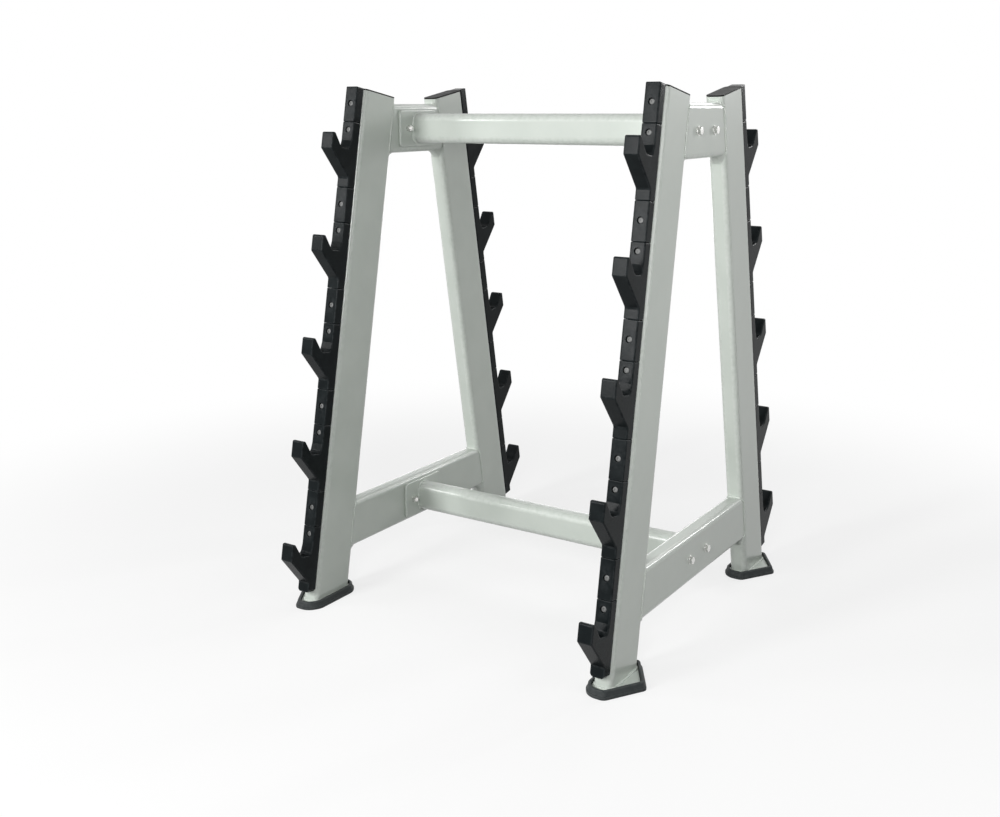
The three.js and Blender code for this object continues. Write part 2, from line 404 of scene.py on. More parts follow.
def turned(profile: Iterable[tuple[float, float]], steps: int = ROUND_STEPS) -> Skin:
    """A body turned about Z through the radius and height of each ring, closed at both ends."""
    rings = [flat_ring(circle(max(r, AXIS_RADIUS), steps), z) for r, z in profile]
    return Skin().loft(rings)


def hexagon(across: float, low: float, high: float) -> Skin:
    """A hexagon head or nut with its corners turned off at both ends.

    Args:
        across: width across the flats.
        low: height of its lower end.
        high: height of its upper end.

    Returns:
        The closed skin.
    """
    face = across / 2 * HEX_FACE_SHARE
    rings = [
        round_ring(face, low),
        hex_ring(across, low, face, -HEX_CHAMFER),
        hex_ring(across, high, face, HEX_CHAMFER),
        round_ring(face, high),
        round_ring(face - HEX_FACE_INSET, high),
    ]
    return Skin().loft(rings)


def linked(name: str, data: bpy.types.ID) -> bpy.types.Object:
    """Adds an object to the scene.

    Args:
        name: name of the object.
        data: its mesh, lamp or camera.

    Returns:
        The new object.
    """
    made = bpy.data.objects.new(name, data)
    bpy.context.scene.collection.objects.link(made)
    return made


def cut(body: Skin, cutters: Sequence[Skin]) -> Skin:
    """Cuts closed skins out of another.

    Args:
        body: the skin to cut.
        cutters: the skins that are taken away.

    Returns:
        What is left of the body.
    """
    target = linked("cut_target", body.mesh("cut_target"))
    tools = []
    for number, cutter in enumerate(cutters):
        tool = linked(f"cut_tool_{number}", cutter.mesh("cut_tool"))
        modifier = target.modifiers.new("cut", "BOOLEAN")
        modifier.object, modifier.operation, modifier.solver = tool, "DIFFERENCE", "EXACT"
        tools.append(tool)
    done = target.evaluated_get(bpy.context.evaluated_depsgraph_get()).to_mesh()
    out = Skin()
    out.ring([tuple(v.co / MM) for v in done.vertices])
    out.faces = [tuple(p.vertices) for p in done.polygons]
    for piece in (target, *tools):
        bpy.data.objects.remove(piece)
    return out


@dataclass(frozen=True)
class Bead:
    """A rippled weld bead: its sizes, and its ripple and unevenness as shares of its radius."""

    radius: float
    spacing: float = 1.3
    pitch: float = 5.2
    ripple_share: float = 0.14
    uneven_share: float = 0.2
    smoothing: int = 4
    sides: int = 10

    def along(self, path: Points, seed: int) -> Skin:
        """Lays the bead along a closed path.

        Args:
            path: 3-D points round the joint.
            seed: start of its random unevenness.

        Returns:
            The closed skin.
        """
        loop = np.vstack([path, path[:1]])
        steps = np.linalg.norm(np.diff(loop, axis=0), axis=1)
        length = np.concatenate([[0], np.cumsum(steps)])
        whole = length[-1]
        count = int(whole / self.spacing)
        at = np.linspace(0, whole, count, endpoint=False)
        centre = np.stack([np.interp(at, length, loop[:, k]) for k in range(3)], 1)
        tangent = np.roll(centre, -1, 0) - np.roll(centre, 1, 0)
        tangent /= np.linalg.norm(tangent, axis=1)[:, None]
        outward = centre - centre.mean(0)
        outward -= (outward * tangent).sum(1)[:, None] * tangent
        outward /= np.linalg.norm(outward, axis=1)[:, None]
        across = np.cross(tangent, outward)
        wave = np.cos(2 * math.pi * max(1, round(whole / self.pitch)) * at / whole)
        noise = np.random.default_rng(seed).normal(0, 1, count)
        window = range(-self.smoothing, self.smoothing + 1)
        noise = sum(np.roll(noise, k) for k in window) / len(window)
        swell = 1 + self.ripple_share * wave + self.uneven_share * noise
        size = (self.radius * swell)[:, None]
        rings = []
        for k in range(self.sides):
            turn = 2 * math.pi * k / self.sides
            rings.append(centre + size * (math.cos(turn) * outward + math.sin(turn) * across))
        return Skin().loft(rings, capped=False)


def mark_edges(mesh: bpy.types.Mesh) -> None:
    """Marks the points where the surface bends, for the masks of scuffed edges and painted edge
    highlights.

    Args:
        mesh: the mesh that gets the attribute.
    """
    work = bmesh.new()
    work.from_mesh(mesh)
    values = []
    for vert in work.verts:
        bend = max((e.calc_face_angle(0.0) for e in vert.link_edges), default=0.0)
        values.append(1.0 if bend > WEAR_AND_HIGHLIGHT_ANGLE else 0.0)
    work.free()
    attribute = mesh.attributes.new(WEAR_AND_HIGHLIGHT_ATTRIBUTE, "FLOAT", "POINT")
    attribute.data.foreach_set("value", np.array(values, np.float32))


@dataclass
class Assembly:
    """A group of pieces that are built together and then dressed."""

    name: str
    made: list[tuple[bpy.types.Object, Coat]] = field(default_factory=list, init=False)

    def piece(
        self,
        name: str,
        skin: Skin,
        coat: Coat,
        slot: Slot | None = None,
        replaces: Sequence[str] = (),
    ) -> None:
        """Makes one named piece that rides on the rack.

        Args:
            name: name of the piece.
            skin: its skin in the frame of the rack.
            coat: the finish it is dressed in.
            slot: not used.
            replaces: CAD nodes that it stands for.
        """
        mesh = skin.mesh(name)
        mark_edges(mesh)
        mesh.shade_smooth()
        mesh.set_sharp_from_angle(angle=SHARP_ANGLE)
        made = linked(name, mesh)
        weighted = made.modifiers.new("even_normals", "WEIGHTED_NORMAL")
        weighted.keep_sharp = True
        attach(made, "root")
        if replaces:
            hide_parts(*replaces)
        self.made.append((made, coat))
        log.info("%s: %d faces", name, len(mesh.polygons))

    def dress(self, finishes: dict[Coat, bpy.types.Material]) -> None:
        """Gives every piece its finish.

        Args:
            finishes: the material of each finish.
        """
        for made, coat in self.made:
            made.data.materials.clear()
            made.data.materials.append(finishes[coat])


def outward(height: float) -> Matrix:
    """Turns a body made along Z to point out of the strip at a height."""
    return Matrix.Translation((0, 0, height)) @ Matrix.Rotation(math.pi / 2, 4, "X")


@dataclass(frozen=True)
class BlockShapes:
    """Skins of the blocks and their screw in the frame of an upright, made once for all."""

    spacer: Skin
    catch: Skin
    last_catch: Skin
    screw: Skin


@dataclass(frozen=True)
class BlockMould:
    """Moulds the blocks of a strip and their screws.

    The rows of mouth give how much wider a screw hole is at a height over the face, the rows of
    socket the width across the flats of a screw's socket at a height over the floor of its hole.
    """

    edge: float = 3.4
    edge_steps: int = 4
    end_bend: Bend = (2.0, 4)
    arm_reach: float = 113.5
    arm_tip: float = 11.0
    tip_share: float = 0.222
    tip_bend: Bend = (5.0, 5)
    face_share: float = 0.47
    heel_share: float = 0.85
    heel_bend: Bend = (9.0, 6)
    saddle_top_share: float = 0.285
    saddle_bottom_share: float = 0.4225
    saddle_radius: float = 20.0
    saddle_chords: int = 12
    saddle_back_chords: int = 9
    tail_corner: float = 8.0
    tail_overrun: float = 20.0
    screw_share: float = 0.48
    screw_drop: float = 22.6
    sink_radius: float = 8.4
    sink_depth: float = 6.0
    mouth: Pairs = ((0.0, -1.0), (0.2, -0.5), (2.3, 1.0))
    head_radius: float = 7.4
    head_rim: float = 0.9
    dome_inset: float = 3.2
    dome_height: float = 1.6
    dome_steps: int = 6
    socket: Pairs = ((5.6, 2.5), (5.4, 2.3), (5.4, 1.0), (1.0, 0.8))

    @property
    def floor(self) -> float:
        """Distance from the upright to the floor of a screw hole."""
        return SIZES.strip_thickness - self.sink_depth

    @property
    def spacer_screw(self) -> float:
        """Height of the screw in a spacer."""
        return SIZES.spacer * (1 - self.screw_share)

    @property
    def catch_screw(self) -> float:
        """Height of the screw in a catch."""
        return SIZES.catch - SIZES.seat_gap - self.screw_drop

    def block(self, outline: Sequence[Corner]) -> Skin:
        """Makes a block.

        Args:
            outline: its outline in the outward and upward directions.

        Returns:
            The closed skin.
        """
        half = SIZES.strip_width / 2
        turn = Matrix(((0, 0, 1, 0), (-1, 0, 0, 0), (0, 1, 0, 0), (0, 0, 0, 1)))
        return prism(outline, -half, half, self.edge, self.edge_steps).moved(turn)

    def sink(self, height: float) -> Skin:
        """Makes the cutter of a screw hole.

        Args:
            height: height of the hole up the block.

        Returns:
            The closed skin.
        """
        face, radius = SIZES.strip_thickness, self.sink_radius
        rings = [(radius + wider, face + rise) for wider, rise in self.mouth]
        profile = [(0, self.floor), (radius, self.floor), *rings, (0, rings[-1][1])]
        return turned(profile).moved(outward(height))

    def spacer_block(self) -> Skin:
        """Makes the plain block between two catches.

        Returns:
            The closed skin.
        """
        back, face, high = SIZES.seat_gap, SIZES.strip_thickness, SIZES.spacer - SIZES.seat_gap
        outline = [
            Corner(back, 0),
            Corner(face, 0, *self.end_bend),
            Corner(face, high, *self.end_bend),
            Corner(back, high),
        ]
        return cut(self.block(outline), [self.sink(self.spacer_screw)])

    def catch_block(self, last: bool) -> Skin:
        """Makes the block with its arm and saddle.

        Args:
            last: True for the lowest one, which has its tail corners cut.

        Returns:
            The closed skin.
        """
        back, face, length = SIZES.seat_gap, SIZES.strip_thickness, SIZES.catch - SIZES.seat_gap
        inner, saddle = self.arm_reach - self.arm_tip, face + 2 * self.saddle_radius
        shares = (
            self.heel_share, self.face_share, self.tip_share,
            self.saddle_bottom_share, self.saddle_top_share,
        )
        heel, knee, tip, bottom, top = (length - SIZES.catch * share for share in shares)
        outline = [
            Corner(back, 0),
            Corner(face, 0, *self.end_bend),
            Corner(face, heel, *self.heel_bend),
            Corner(self.arm_reach, knee, *self.tip_bend),
            Corner(self.arm_reach, tip, *self.tip_bend),
            Corner(inner, tip, *self.tip_bend),
            Corner(saddle, bottom, self.saddle_radius, self.saddle_chords),
            Corner(face + self.saddle_radius / 4, bottom, self.saddle_radius / 2,
                   self.saddle_back_chords),
            Corner(face, top, *self.heel_bend),
            Corner(face, length, *self.end_bend),
            Corner(back, length),
        ]
        cutters = [self.sink(self.catch_screw)]
        for x in (-SIZES.strip_width / 2, SIZES.strip_width / 2) if last else ():
            t, past = self.tail_corner, self.tail_overrun
            diamond = [Corner(x - t, 0), Corner(x, -t), Corner(x + t, 0), Corner(x, t)]
            cutters.append(prism(diamond, -past, face + past).moved(outward(0)))
        return cut(self.block(outline), cutters)

    def screw(self) -> Skin:
        """Makes a domed screw head with a hexagon socket, on the floor of its hole.

        Returns:
            The closed skin.
        """
        rim = self.floor + self.head_rim
        rings = [round_ring(self.head_radius, self.floor), round_ring(self.head_radius, rim)]
        for k in range(1, self.dome_steps + 1):
            turn = math.pi / 2 * k / self.dome_steps
            radius = self.head_radius - self.dome_inset * (1 - math.cos(turn))
            rings.append(round_ring(radius, rim + self.dome_height * math.sin(turn)))
        rings += [hex_ring(across, self.floor + rise) for across, rise in self.socket]
        return Skin().loft(rings).moved(outward(0))

    def make(self) -> BlockShapes:
        """All the shapes of one strip."""
        catch, last = self.catch_block(False), self.catch_block(True)
        return BlockShapes(self.spacer_block(), catch, last, self.screw())


@dataclass
class Stand(Assembly):
    """One leaning upright with its foot, cap and strip of blocks.

    The rows of shoe_base and pocket_floor give an inset and a height over the floor and over the
    sole, those of shoe_brow and pocket_lip an inset and a depth under the top of the shoe.
    """

    side: Side
    end: End
    shapes: BlockShapes
    mould: BlockMould
    rim: float = 13.0
    shoe_inner: float = 45.0
    shoe_outer: float = 88.0
    shoe_half_length: float = 104.0
    shoe_nose: float = 23.0
    shoe_corner: float = 34.0
    shoe_radius: float = 15.0
    shoe_shoulder: float = 20.0
    shoe_curve: float = 42.0
    shoe_least_radius: float = 1.0
    shoe_chords: int = 7
    shoe_taper: float = 6.0
    shoe_base: Pairs = (
        (1.4, 0.0), (0.4, 0.4), (0.0, 1.4), (0.0, 6.6), (0.5, 7.8), (1.8, 8.4), (3.0, 8.8),
    )
    shoe_brow: Pairs = ((-1.2, 4.4), (-0.7, 2.0), (0.5, 0.5), (2.2, 0.0))
    pocket_lip: Pairs = ((-1.8, 0.0), (-0.6, 0.4), (0.0, 1.6))
    pocket_floor: Pairs = ((0.0, 0.6), (0.6, 0.0))
    plate_edge: float = 1.2
    weld: Bead = Bead(3.6)
    weld_rise: float = 0.6
    cap_thickness: float = 4.0
    cap_edge: float = 1.8
    cap_steps: int = 4
    plug_depth: float = 22.0
    plug_lap: float = 0.5
    plug_edge: float = 0.6
    plug_steps: int = 2
    row_turn: float = 0.7
    catch_turn: float = 1.3

    @property
    def place(self) -> Matrix:
        """Where the foot stands, its Y pointing into the rack.

        Returns:
            The 4x4 move.
        """
        spot = (self.side.sign * SIZES.frame_spacing / 2, self.end.sign * SIZES.base_depth / 2, 0)
        turn = 0.0 if self.end is End.FRONT else math.pi
        return Matrix.Translation(spot) @ Matrix.Rotation(turn, 4, "Z")

    @property
    def leaning(self) -> Matrix:
        """The frame of the leaning upright, its outer face at Y zero."""
        return self.place @ Matrix.Rotation(-SIZES.lean, 4, "X")

    def section_ring(self, inset: float, height: float, level: bool) -> Points:
        """Makes a ring round the tube's section.

        Args:
            inset: distance in from the tube's skin.
            height: height of the ring, along the tube or over the floor.
            level: True for a ring level with the floor, False for one square to the tube.

        Returns:
            The ring's 3-D points.
        """
        outline = rectangle(SIZES.tube_width, SIZES.tube_depth, SIZES.tube_radius)
        path = path_of(outline, inset)
        path[:, 1] += SIZES.tube_depth / 2
        lift = np.full(len(path), height)
        if level:
            lift = (height + path[:, 1] * math.sin(SIZES.lean)) / math.cos(SIZES.lean)
        return np.column_stack([path, lift])

    def foot_outline(self, inset: float) -> list[Corner]:
        """Outline of the shoe, with its flare on the outer side of the rack.

        Args:
            inset: distance by which it is drawn in.

        Returns:
            The corners, anticlockwise.
        """
        flare = -self.side.sign * self.end.sign
        centre = SIZES.tube_depth / math.cos(SIZES.lean) / 2
        slope = math.atan2(self.shoe_half_length, self.shoe_outer - self.shoe_nose)
        corner = math.atan2(self.shoe_corner, self.shoe_inner - self.shoe_nose)
        side_in = inset * math.tan(math.pi / 4 - corner / 2)
        length = self.shoe_half_length - inset
        half = [
            (-self.shoe_inner + inset, -self.shoe_half_length + self.shoe_corner + side_in),
            (-self.shoe_nose + inset * math.tan(corner / 2), -length),
            (self.shoe_nose - inset * math.tan(slope / 2), -length),
        ]
        tip = (self.shoe_outer - inset / math.sin(slope), 0.0)
        whole = [*half, tip, *((x, -y) for x, y in reversed(half))]
        radii = [self.shoe_curve, self.shoe_curve, self.shoe_shoulder, self.shoe_radius]
        radii += radii[-2::-1]
        corners = []
        for (x, y), radius in zip(whole, radii):
            radius = max(radius - inset, self.shoe_least_radius)
            corners.append(Corner(flare * x, y + centre, radius, self.shoe_chords))
        return corners if flare > 0 else list(reversed(corners))

    def build(self) -> None:
        """Builds the pieces of the stand from the floor up."""
        self.build_foot()
        self.build_upright()
        self.build_cap()
        self.build_strip()

    def build_foot(self) -> None:
        """Builds the rubber shoe and the steel plate that lies in it."""
        outer, pocket = self.foot_outline(0), self.foot_outline(self.rim)
        top, sole = SIZES.shoe_height, SIZES.sole
        levels = [(outer, inset, z) for inset, z in self.shoe_base]
        levels += [(outer, self.shoe_taper + past, top - drop) for past, drop in self.shoe_brow]
        levels += [(pocket, inset, top - drop) for inset, drop in self.pocket_lip]
        levels += [(pocket, inset, sole + rise) for inset, rise in self.pocket_floor]
        rings = [flat_ring(path_of(outline, inset), z) for outline, inset, z in levels]
        self.piece(f"{self.name}_shoe_body", Skin().loft(rings).moved(self.place),
                   Coat.RUBBER, Slot.SHOE_RUBBER, [f"{self.name}_shoe"])
        outline = self.foot_outline(self.rim + SIZES.seat_gap)
        plate = prism(outline, sole + SIZES.seat_gap, SIZES.plate_top, self.plate_edge)
        self.piece(f"{self.name}_foot_plate", plate.moved(self.place),
                   Coat.PAINT, Slot.GREY_PAINT)

    def build_upright(self) -> None:
        """Builds the tube and its weld on the foot plate."""
        top = SIZES.strip_top - self.cap_thickness - SIZES.seat_gap
        low, wall = SIZES.plate_top, SIZES.wall
        rings = [self.section_ring(*row) for row in (
            (0, low, True), (0, low + TUBE_SUPPORT, True), (0, top - TUBE_SUPPORT, False),
            (0, top, False), (wall, top, False), (wall, low, True),
        )]
        tube = Skin().loft(rings, capped=False)
        self.piece(f"{self.name}_upright_tube", tube.moved(self.leaning),
                   Coat.PAINT, Slot.GREY_PAINT, [f"{self.name}_upright"])
        path = self.section_ring(-self.weld_rise, low + self.weld_rise, True)
        seam = self.weld.along(path, len(self.name))
        self.piece(f"{self.name}_foot_weld", seam.moved(self.leaning),
                   Coat.PAINT, Slot.GREY_PAINT)

    def build_cap(self) -> None:
        """Builds the end cap, its lid in one with the plug in the tube."""
        width, depth, radius = SIZES.tube_width, SIZES.tube_depth, SIZES.tube_radius
        gap = 2 * (SIZES.wall + SIZES.seat_gap)
        lid = prism(rectangle(width, depth, radius), 0, self.cap_thickness,
                    self.cap_edge, self.cap_steps)
        lid.add(prism(rectangle(width - gap, depth - gap, radius - gap / 2), -self.plug_depth,
                      self.plug_lap, self.plug_edge, self.plug_steps))
        spot = Matrix.Translation((0, depth / 2, SIZES.strip_top - self.cap_thickness))
        self.piece(f"{self.name}_cap_lid", lid.moved(self.leaning @ spot),
                   Coat.CAP, Slot.BLACK_PLASTIC, [f"{self.name}_end_cap"])

    def build_strip(self) -> None:
        """Builds the blocks down the outer face, each with its screw at a turn of its own."""
        shapes, mould, gap = self.shapes, self.mould, SIZES.seat_gap
        for row in range(SIZES.rows):
            top = SIZES.strip_top - row * SIZES.pitch
            catch = shapes.last_catch if row == SIZES.rows - 1 else shapes.catch
            blocks = (
                ("spacer", shapes.spacer, top - SIZES.spacer + gap, mould.spacer_screw, 0),
                ("catch", catch, top - SIZES.pitch + gap, mould.catch_screw, self.catch_turn),
            )
            for kind, skin, low, hole, extra in blocks:
                name = f"{self.name}_{kind}_{row + 1}"
                spot = self.leaning @ Matrix.Translation((0, 0, low))
                self.piece(f"{name}_block", skin.moved(spot),
                           Coat.PLASTIC, Slot.BLACK_PLASTIC, [name])
                turn = Matrix.Rotation(self.row_turn * row + extra, 4, "Y")
                at = self.leaning @ Matrix.Translation((0, 0, low + hole)) @ turn
                self.piece(f"{name}_screw", shapes.screw.moved(at), Coat.SCREW)


@dataclass
class CrossTube(Assembly):
    """A level tube between the two uprights of a side frame, with its end welds."""

    side: Side
    level: Level
    height: float
    centre: float
    end_gap: float = 0.1
    weld: Bead = Bead(3.0)
    weld_rise: float = 0.5
    weld_gap: float = 0.4
    weld_seed: int = 7
    fillet_leg: float = 24.0
    fillet_bend_share: float = 0.4
    fillet_margin: float = 1.5
    fillet_lap: float = 0.6
    fillet_steps: int = 8
    fillet_slices: int = 15
    fillet_power: int = 4
    fillet_least_share: float = 0.12

    def end_reach(self, x: Points, z: Points) -> Points:
        """Distance from the middle of the rack at which the tube meets the rounded upright.

        Args:
            x: places across the tube, from its middle.
            z: heights of these places.

        Returns:
            The distance at each place.
        """
        flat = SIZES.tube_width / 2 - SIZES.tube_radius
        past = np.clip(np.abs(x) - flat, 0, SIZES.tube_radius - HAIR)
        drop = SIZES.tube_radius - np.sqrt(SIZES.tube_radius ** 2 - past ** 2)
        inner = (SIZES.tube_depth - drop + z * math.sin(SIZES.lean)) / math.cos(SIZES.lean)
        return SIZES.base_depth / 2 - inner

    def end_ring(self, end: End, inset: float, short: float = 0.0) -> Points:
        """Makes the ring where the tube meets an upright.

        Args:
            end: the upright's end of the side frame.
            inset: distance in from the tube's skin.
            short: distance by which the ring stays clear of the upright.

        Returns:
            The ring's 3-D points.
        """
        path = path_of(rectangle(SIZES.cross_width, self.height, SIZES.cross_radius), inset)
        x, z = path[:, 0], path[:, 1] + self.centre
        return np.column_stack([x, end.sign * (self.end_reach(x, z) - short), z])

    def fillet(self, end: End) -> Skin:
        """Makes the curved weld in the corner under the tube, following both rounded tubes.

        Args:
            end: the upright's end of the side frame.

        Returns:
            The closed skin.
        """
        half, radius = SIZES.cross_width / 2 - self.fillet_margin, SIZES.cross_radius
        pull = self.fillet_bend_share
        share = np.linspace(0, 1, self.fillet_steps + 1)[:, None]
        rings = []
        for across in np.linspace(-half, half, self.fillet_slices):
            past = max(abs(across) - SIZES.cross_width / 2 + radius, 0)
            rise = radius - math.sqrt(radius ** 2 - past ** 2)
            fade = max(1 - (across / half) ** self.fillet_power, self.fillet_least_share)
            reach = self.fillet_leg * fade
            high = self.centre - self.height / 2 + rise + self.fillet_lap
            corner = np.array([0.0, high])
            along, down = np.array([reach, high]), np.array([0.0, high - reach])
            bend = corner * pull + (along + down) / 2 * (1 - pull)
            curve = (1 - share) ** 2 * along + 2 * share * (1 - share) * bend + share ** 2 * down
            path = np.vstack([corner, curve])
            x = np.full(len(path), across)
            depth = self.end_reach(x, path[:, 1]) - path[:, 0]
            depth[[0, -1]] += self.fillet_lap
            rings.append(np.column_stack([x, end.sign * depth, path[:, 1]]))
        return Skin().loft(rings)

    def build(self) -> None:
        """Builds the tube and the weld at each end."""
        name = f"{self.name}_{self.level.value}"
        place = Matrix.Translation((self.side.sign * SIZES.frame_spacing / 2, 0, 0))
        gap, wall = self.end_gap, SIZES.wall
        rings = [self.end_ring(*row) for row in (
            (End.FRONT, 0, gap), (End.FRONT, 0, TUBE_SUPPORT), (End.REAR, 0, TUBE_SUPPORT),
            (End.REAR, 0, gap), (End.REAR, wall, gap), (End.FRONT, wall, gap),
        )]
        self.piece(f"{name}_cross_body", Skin().loft(rings, capped=False).moved(place),
                   Coat.PAINT, Slot.GREY_PAINT, [f"{name}_cross_tube"])
        for seed, end in enumerate(End, self.weld_seed + len(self.name)):
            seam = self.weld.along(self.end_ring(end, -self.weld_rise, self.weld_gap), seed)
            seam.add(self.fillet(end))
            self.piece(f"{name}_{end.value}_weld", seam.moved(place),
                       Coat.PAINT, Slot.GREY_PAINT)


@dataclass
class Beam(Assembly):
    """A beam between the side frames, with its flanges, welds and bolts.

    The rows of washer_rim and tip_rim give a distance in from the rim and a height.
    """

    height: float
    width: float = 56.0
    depth: float = 88.0
    radius: float = 22.0
    chords: int = 12
    flange_width: float = 180.0
    flange_height: float = 110.0
    flange_thickness: float = 8.0
    flange_radius: float = 12.0
    flange_edge: float = 3.0
    weld: Bead = Bead(3.2)
    weld_rise: float = 0.5
    weld_seed: int = 31
    bolt_spacing: float = 106.0
    bolt_diameter: float = 12.0
    washer: float = 24.0
    washer_rim: Pairs = ((0.5, 0.0), (0.0, 0.4), (0.0, 2.0), (0.6, 2.5))
    head_across: float = 19.0
    head_height: float = 8.0
    head_turn: float = 0.3
    nut_height: float = 10.0
    nut_turn: float = 0.9
    stud: float = 9.0
    stud_lap: float = 1.5
    stud_steps: int = 32
    tip_rim: Pairs = ((1.6, 0.0), (0.2, 1.4))
    thread_start: float = 1.6
    thread_pitch: float = 0.95
    thread_turns: int = 9
    thread_depth: float = 0.55
    thread_flank: float = 0.45

    @property
    def inner_face(self) -> float:
        """Distance from the middle of the rack to the inner face of a cross tube."""
        return SIZES.frame_spacing / 2 - SIZES.cross_width / 2

    def build(self) -> None:
        """Builds the tube, then each end."""
        face = self.inner_face - SIZES.seat_gap - self.flange_thickness
        turn = Matrix(((0, 0, 1, 0), (1, 0, 0, 0), (0, 1, 0, 0), (0, 0, 0, 1)))
        along = Matrix.Translation((0, 0, self.height)) @ turn
        outline = rectangle(self.width, self.depth, self.radius, self.chords)
        wall, near = SIZES.wall, face - TUBE_SUPPORT
        levels = ((0, -face), (0, -near), (0, near), (0, face), (wall, face), (wall, -face))
        rings = [flat_ring(path_of(outline, inset), z) for inset, z in levels]
        self.piece(f"{self.name}_tube", Skin().loft(rings, capped=False).moved(along),
                   Coat.PAINT, Slot.SILVER_PAINT, [self.name])
        plate = rectangle(self.flange_width, self.flange_height, self.flange_radius)
        for side in Side:
            name, sign = f"{self.name}_{side.value}", side.sign
            low, high = sorted((sign * face, sign * (face + self.flange_thickness)))
            flange = prism(plate, low, high, self.flange_edge)
            self.piece(f"{name}_flange", flange.moved(along), Coat.PAINT, Slot.SILVER_PAINT)
            ring = flat_ring(path_of(outline, -self.weld_rise), sign * (face - self.weld_rise))
            seam = self.weld.along(ring, self.weld_seed + sign)
            self.piece(f"{name}_weld", seam.moved(along), Coat.PAINT, Slot.SILVER_PAINT)
            for end in End:
                self.build_bolt(f"{name}_{end.value}", sign, end.sign * self.bolt_spacing / 2)

    def build_bolt(self, name: str, sign: int, y: float) -> None:
        """Builds the bolt head with its washer outside, and the nut on the stud inside.

        The bolt's place also turns its head and nut, so that neighbours don't look alike.

        Args:
            name: name of the bolt.
            sign: sign of X on its side of the rack.
            y: its place along the depth of the rack.
        """
        outside = SIZES.cross_width + SIZES.seat_gap
        inside = -SIZES.seat_gap - self.flange_thickness
        face = Matrix.Translation((sign * self.inner_face, y, self.height))
        axis = face @ Matrix.Rotation(sign * math.pi / 2, 4, "Y")
        rim, core = self.washer / 2, self.bolt_diameter / 2
        head = turned([(rim - less, outside + rise) for less, rise in self.washer_rim])
        base = outside + self.washer_rim[-1][1]
        head.add(hexagon(self.head_across, base, base + self.head_height))
        turn = Matrix.Rotation(self.head_turn + y, 4, "Z")
        self.piece(f"{name}_bolt_head", head.moved(axis @ turn), Coat.ZINC)
        nut = hexagon(self.head_across, inside - self.nut_height, inside)
        tip = inside - self.nut_height - self.stud
        profile = [(core - less, tip + rise) for less, rise in self.tip_rim]
        for k in range(self.thread_turns):
            at = tip + self.thread_start + k * self.thread_pitch
            profile += [(core, at), (core - self.thread_depth, at + self.thread_flank)]
        profile.append((core, inside - self.nut_height + self.stud_lap))
        nut.add(turned(profile, self.stud_steps))
        turn = Matrix.Rotation(self.nut_turn + y, 4, "Z")
        self.piece(f"{name}_bolt_nut", nut.moved(axis @ turn), Coat.ZINC)


class Nodes:
    """A shader node tree, with short ways to add and join its nodes."""

    def __init__(self, tree: bpy.types.NodeTree) -> None:
        """Keeps the tree."""
        self.tree = tree

    def add(self, kind: str, **values: float | tuple[float, ...]) -> bpy.types.Node:
        """Adds a node.

        Args:
            kind: its type without the leading ShaderNode.
            values: values of its inputs, by their names with _ for each blank.

        Returns:
            The new node.
        """
        node = self.tree.nodes.new(f"ShaderNode{kind}")
        for name, value in values.items():
            node.inputs[name.replace("_", " ")].default_value = value
        return node

    def math(self, operation: str, *terms: bpy.types.NodeSocket) -> bpy.types.NodeSocket:
        """Adds a maths node.

        Args:
            operation: the node's operation.
            terms: the two sockets that it takes.

        Returns:
            Its result.
        """
        node = self.add("Math")
        node.operation = operation
        for term, socket in zip(terms, node.inputs):
            self.join(term, socket)
        return node.outputs["Value"]

    def mix(
        self, factor: bpy.types.NodeSocket, first: bpy.types.NodeSocket | Colour, second: Colour
    ) -> bpy.types.NodeSocket:
        """Adds a colour mix.

        Args:
            factor: the share of the second colour.
            first: the first colour, or the socket that it comes from.
            second: the second colour.

        Returns:
            The mixed colour.
        """
        node = self.add("Mix")
        node.data_type = "RGBA"
        sockets = {s.name: s for s in node.inputs if s.enabled}
        self.join(factor, sockets["Factor"])
        if isinstance(first, tuple):
            sockets["A"].default_value = (*first, 1.0)
        else:
            self.join(first, sockets["A"])
        sockets["B"].default_value = (*second, 1.0)
        return next(s for s in node.outputs if s.enabled)

    def blend(self, factor: bpy.types.NodeSocket, *shaders: bpy.types.Node) -> bpy.types.Node:
        """Adds a mix of two shaders.

        Args:
            factor: the share of the second one.
            shaders: the nodes of both shaders.

        Returns:
            The mix node.
        """
        node = self.add("MixShader")
        self.join(factor, node.inputs["Fac"])
        for shader, socket in zip(shaders, node.inputs[1:]):
            self.join(shader.outputs[0], socket)
        return node

    def seen(self) -> bpy.types.NodeSocket:
        """One for rays that show the surroundings: camera, glossy and transmission rays.

        Returns:
            The socket with that value.
        """
        rays = self.add("LightPath").outputs
        either = self.math("MAXIMUM", rays["Is Camera Ray"], rays["Is Glossy Ray"])
        return self.math("MAXIMUM", either, rays["Is Transmission Ray"])

    def join(self, source: bpy.types.NodeSocket, target: bpy.types.NodeSocket) -> None:
        """Links two sockets."""
        self.tree.links.new(source, target)


def shared_group(name: str, inputs: Sequence[str], outputs: Sequence[str]) -> Nodes:
    """An empty node group with a Vector input, named values and its end nodes in place.

    Args:
        name: name of the group.
        inputs: names of the input values, which each material sets.
        outputs: names of the output values.

    Returns:
        The nodes of the group, of which the end nodes are named in and out.
    """
    tree = bpy.data.node_groups.new(name, "ShaderNodeTree")
    tree.interface.new_socket("Vector", in_out="INPUT", socket_type="NodeSocketVector")
    for way, labels in (("INPUT", inputs), ("OUTPUT", outputs)):
        for label in labels:
            tree.interface.new_socket(label, in_out=way, socket_type="NodeSocketFloat")
    tree.nodes.new("NodeGroupInput").name = "in"
    tree.nodes.new("NodeGroupOutput").name = "out"
    return Nodes(tree)


